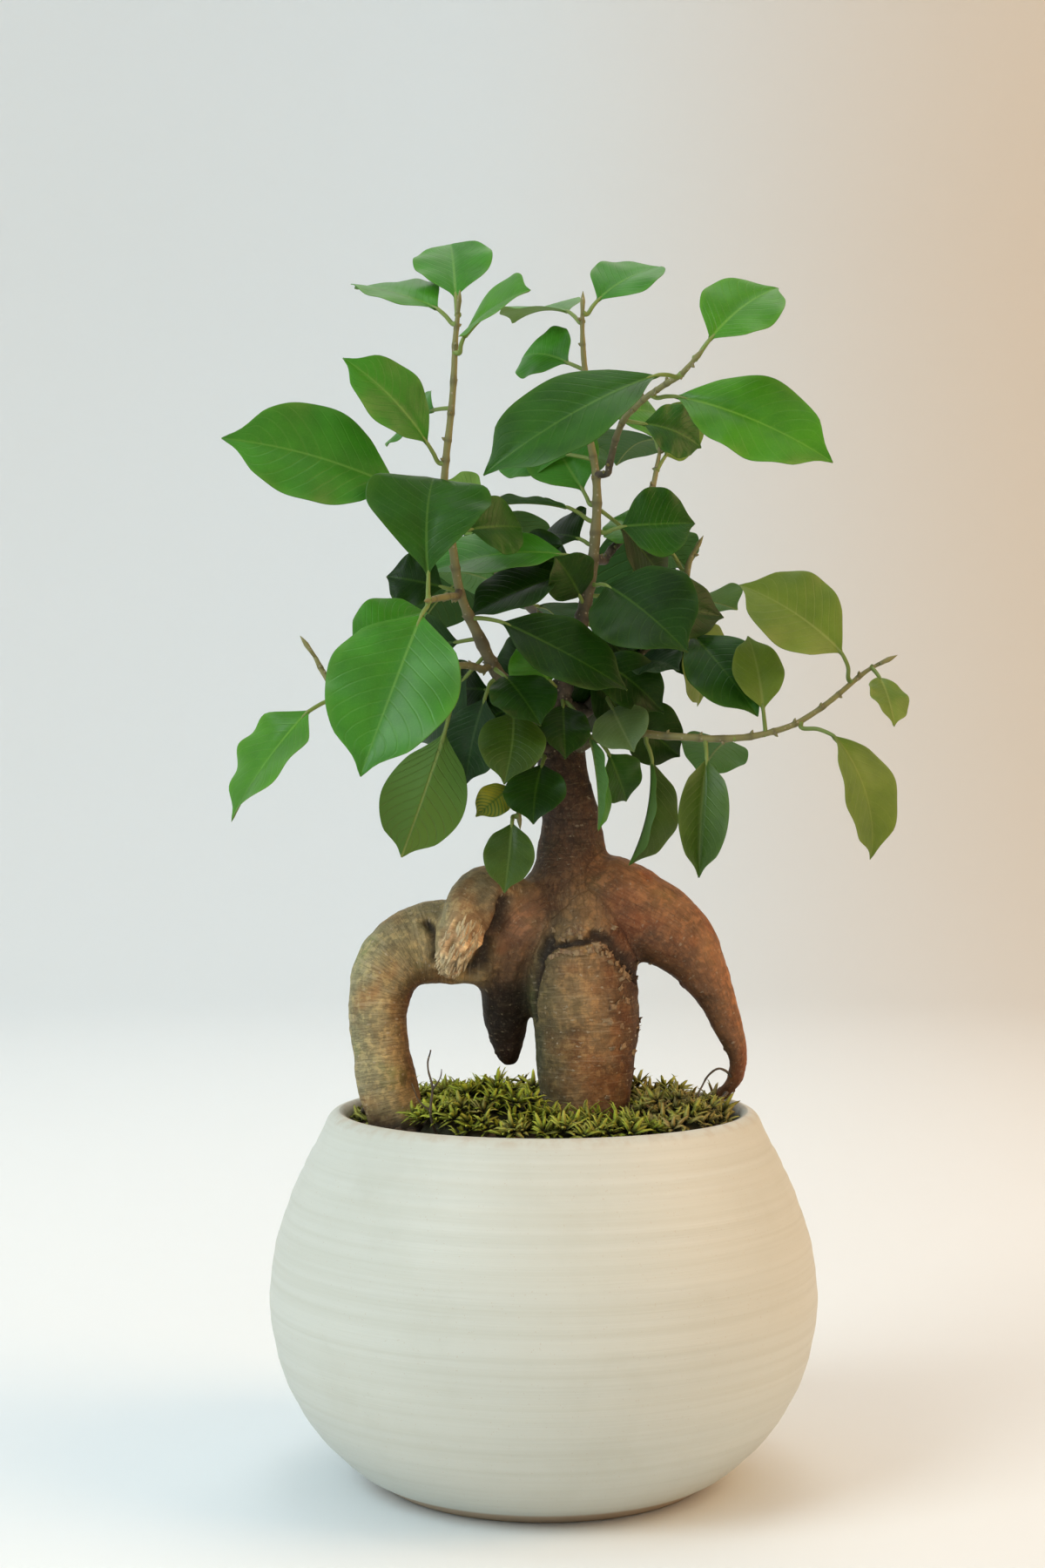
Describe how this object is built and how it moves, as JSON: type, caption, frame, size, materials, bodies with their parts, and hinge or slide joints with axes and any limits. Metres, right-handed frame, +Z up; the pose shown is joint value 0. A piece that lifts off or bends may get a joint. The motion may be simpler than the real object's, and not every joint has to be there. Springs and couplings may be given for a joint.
{
  "type": "potted bonsai tree",
  "caption": "Small fig bonsai on thick exposed arching roots, with glossy oval leaves, moss and soil, in a round bellied ceramic pot that stands on a flat base.",
  "frame": {"origin": "middle of the pot's flat base, on the surface that it stands on", "axes": "+Z up along the pot's axis and the trunk, -Y towards the tree's front, +X to the right seen from the front"},
  "size_m": [0.1869, 0.1617, 0.3501],
  "materials": {
    "pale_ceramic": "matte",
    "soil": "matte",
    "moss": "matte",
    "bark": "satin",
    "stem": "satin",
    "leaf": "satin",
    "pale_leaf": "satin",
    "yellow_leaf": "satin"
  },
  "bodies": {
    "root": {"pot": "pale_ceramic", "soil": "soil", "moss_left": "moss", "moss_right": "moss", "trunk": "bark", "left_leader": "stem", "centre_leader": "stem", "right_leader": "stem", "right_twig": "stem", "long_branch": "stem", "left_twig": "stem", "front_twig": "stem", "low_spur": "stem", "back_left_twig": "stem", "back_right_twig": "stem", "leaf_01": "leaf", "leaf_02": "leaf", "leaf_03": "leaf", "leaf_04": "leaf", "leaf_05": "leaf", "leaf_06": "leaf", "leaf_07": "leaf", "leaf_08": "leaf", "leaf_09": "leaf", "leaf_10": "leaf", "leaf_11": "leaf", "leaf_12": "leaf", "leaf_13": "leaf", "leaf_14": "leaf", "leaf_15": "leaf", "leaf_16": "leaf", "leaf_17": "leaf", "leaf_18": "leaf", "leaf_19": "leaf", "leaf_20": "leaf", "leaf_21": "leaf", "leaf_22": "leaf", "leaf_23": "leaf", "leaf_24": "leaf", "leaf_25": "leaf", "leaf_26": "leaf", "leaf_27": "leaf", "leaf_28": "leaf", "leaf_29": "leaf", "leaf_30": "pale_leaf", "leaf_31": "leaf", "leaf_32": "pale_leaf", "leaf_33": "leaf", "leaf_34": "leaf", "leaf_35": "leaf", "leaf_36": "leaf", "leaf_37": "leaf", "leaf_38": "pale_leaf", "leaf_39": "leaf", "leaf_40": "yellow_leaf", "leaf_41": "leaf", "leaf_42": "leaf", "leaf_43": "leaf", "leaf_44": "leaf", "leaf_45": "leaf"}
  },
  "joints": []
}
